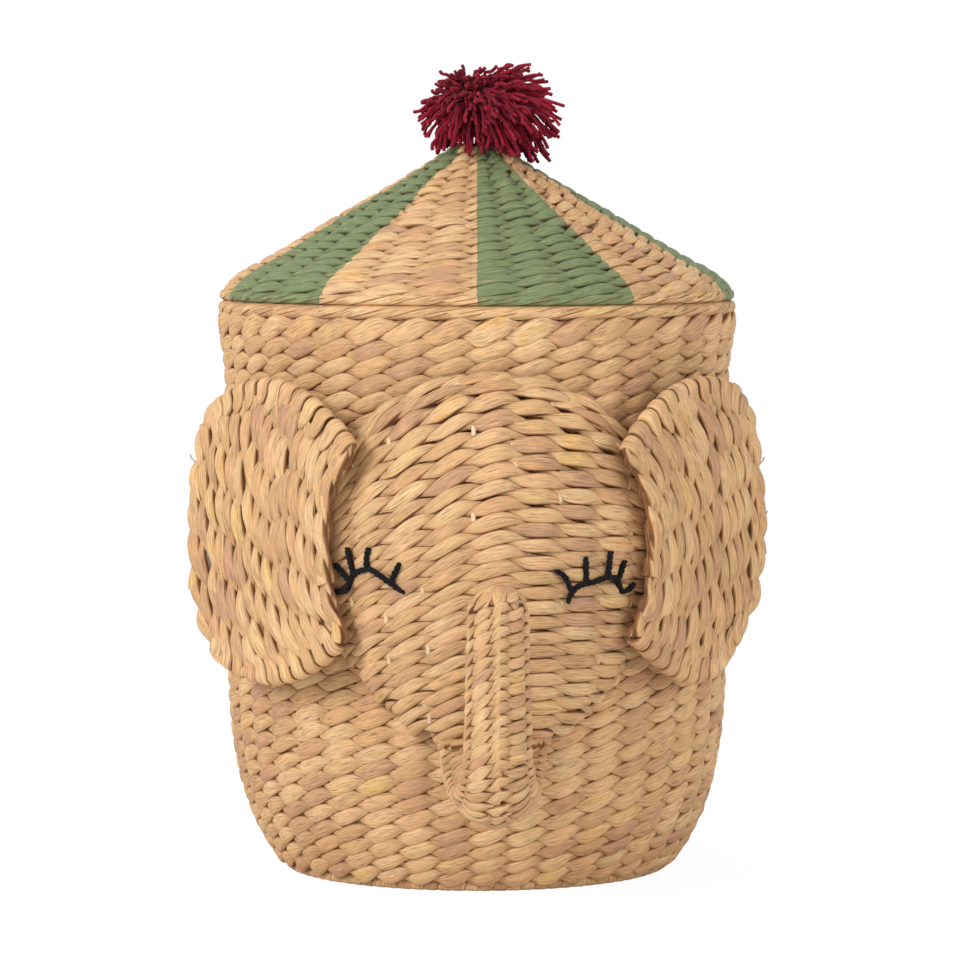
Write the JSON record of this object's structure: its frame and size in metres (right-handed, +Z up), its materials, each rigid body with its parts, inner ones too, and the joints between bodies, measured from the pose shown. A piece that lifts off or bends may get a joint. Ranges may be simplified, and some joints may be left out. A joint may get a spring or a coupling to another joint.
{
  "type": "lidded woven basket",
  "caption": "Round woven storage basket with an elephant's face, two ears, an upturned trunk and a conical lift-off lid with a pom-pom.",
  "frame": {"origin": "middle of the base, on the floor the basket stands on", "axes": "+X to the viewer's right, the face looks along -Y, +Z up"},
  "size_m": [0.3994, 0.4775, 0.5818],
  "materials": {
    "hyacinth": "dry woven plant strand, satin",
    "painted_hyacinth": "woven plant strand with sage green painted sectors, matt",
    "frame_wire": "drawn iron wire, dull",
    "black_yarn": "thick twisted yarn, matt",
    "burgundy_yarn": "cotton yarn with cut ends, matt"
  },
  "bodies": {
    "basket": {"basket_frame": "frame_wire", "wall_weave": "hyacinth", "base_weave": "hyacinth", "base_binding": "hyacinth", "rim_binding": "hyacinth", "face_weave": "hyacinth", "trunk_weave": "hyacinth", "trunk_wire": "frame_wire", "left_eye_yarn": "black_yarn", "right_eye_yarn": "black_yarn", "left_ear_weave": "hyacinth", "left_ear_frame": "frame_wire", "left_ear_lower_lashing": "hyacinth", "left_ear_upper_lashing": "hyacinth", "right_ear_weave": "hyacinth", "right_ear_frame": "frame_wire", "right_ear_lower_lashing": "hyacinth", "right_ear_upper_lashing": "hyacinth"},
    "lid": {"lid_frame": "frame_wire", "lid_weave": "painted_hyacinth", "lid_edge_binding": "painted_hyacinth", "lid_locating_ring": "hyacinth", "pompom_tie": "burgundy_yarn", "pompom": "burgundy_yarn"}
  },
  "joints": [
    {"name": "lid_lift", "type": "slide", "parent": "basket", "child": "lid", "axis": [0, 0, 1], "range_m": [0, 0.2]}
  ]
}
